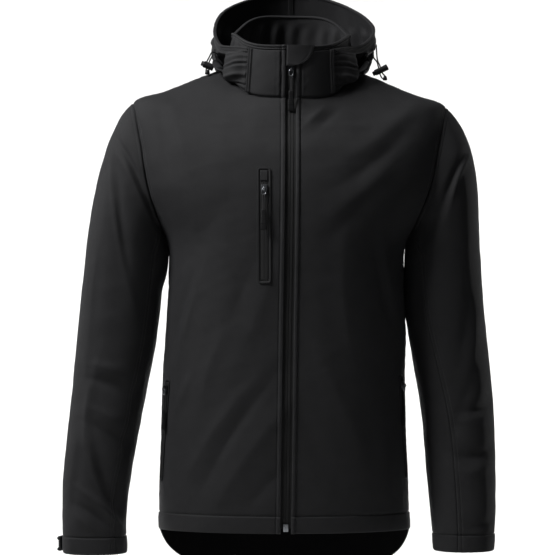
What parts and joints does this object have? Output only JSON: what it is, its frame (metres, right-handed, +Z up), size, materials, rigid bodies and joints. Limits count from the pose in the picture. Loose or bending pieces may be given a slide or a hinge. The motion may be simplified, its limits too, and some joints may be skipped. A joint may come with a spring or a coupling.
{
  "type": "softshell jacket",
  "caption": "Hooded softshell jacket in its worn form with nobody inside: stand collar, full front zip, zipped chest and hand pockets, hood with drawcords.",
  "frame": {"origin": "centre of the neck opening at the height where the wearer's shoulders carry the jacket", "axes": "+Z up along the zip to the collar, +X to the wearer's left, the front faces -Y"},
  "size_m": [0.6657, 0.3372, 0.9132],
  "materials": {
    "shell": "matt black laminated softshell cloth with a fine woven face",
    "zip_tape": "black woven zip tape with its moulded coil",
    "zip_metal": "bare die-cast zip metal",
    "pull_plastic": "black moulded plastic",
    "drawcord": "black braided elastic cord"
  },
  "bodies": {
    "jacket": {"front_right": "shell", "front_left": "shell", "back": "shell", "sleeve_top_right": "shell", "sleeve_under_right": "shell", "sleeve_top_left": "shell", "sleeve_under_left": "shell", "collar": "shell", "collar_front_right": "shell", "collar_front_left": "shell", "chin_guard": "shell", "hood_right": "shell", "hood_left": "shell", "cuff_tab_right": "shell", "cuff_tab_left": "shell", "chest_pocket_welt": "shell", "side_pocket_right_welt": "shell", "side_pocket_left_welt": "shell", "main_zip_tape_right": "zip_tape", "main_zip_tape_left": "zip_tape", "chest_pocket_zip": "zip_tape", "side_pocket_right_zip": "zip_tape", "side_pocket_left_zip": "zip_tape", "main_zip_box": "zip_metal", "main_zip_slider": "zip_metal", "chest_pocket_slider": "zip_metal", "side_pocket_right_slider": "zip_metal", "side_pocket_left_slider": "zip_metal", "hood_right_toggle": "pull_plastic", "hood_left_toggle": "pull_plastic", "hood_right_cord_end": "pull_plastic", "hood_left_cord_end": "pull_plastic", "hood_right_drawcord": "drawcord", "hood_left_drawcord": "drawcord"},
    "main_zip_tab": {"main_zip_pull": "pull_plastic"},
    "chest_pocket_tab": {"chest_pocket_pull": "pull_plastic"},
    "side_pocket_right_tab": {"side_pocket_right_pull": "pull_plastic"},
    "side_pocket_left_tab": {"side_pocket_left_pull": "pull_plastic"}
  },
  "joints": [
    {"name": "main_zip_tab_swing", "type": "hinge", "parent": "jacket", "child": "main_zip_tab", "pos_m": [0.00745, -0.08909, 0.01488], "axis": [-1, 0.0006, 0], "range_deg": [0, 150]},
    {"name": "chest_pocket_tab_swing", "type": "hinge", "parent": "jacket", "child": "chest_pocket_tab", "pos_m": [-0.03306, -0.13156, -0.1644], "axis": [-0.9983, 0.0576, 0], "range_deg": [0, 150]},
    {"name": "side_pocket_right_tab_swing", "type": "hinge", "parent": "jacket", "child": "side_pocket_right_tab", "pos_m": [-0.18508, -0.0554, -0.46531], "axis": [-0.4379, 0.899, 0], "range_deg": [0, 150]},
    {"name": "side_pocket_left_tab_swing", "type": "hinge", "parent": "jacket", "child": "side_pocket_left_tab", "pos_m": [0.17906, -0.05571, -0.45942], "axis": [-0.4048, -0.9144, 0], "range_deg": [0, 150]}
  ]
}
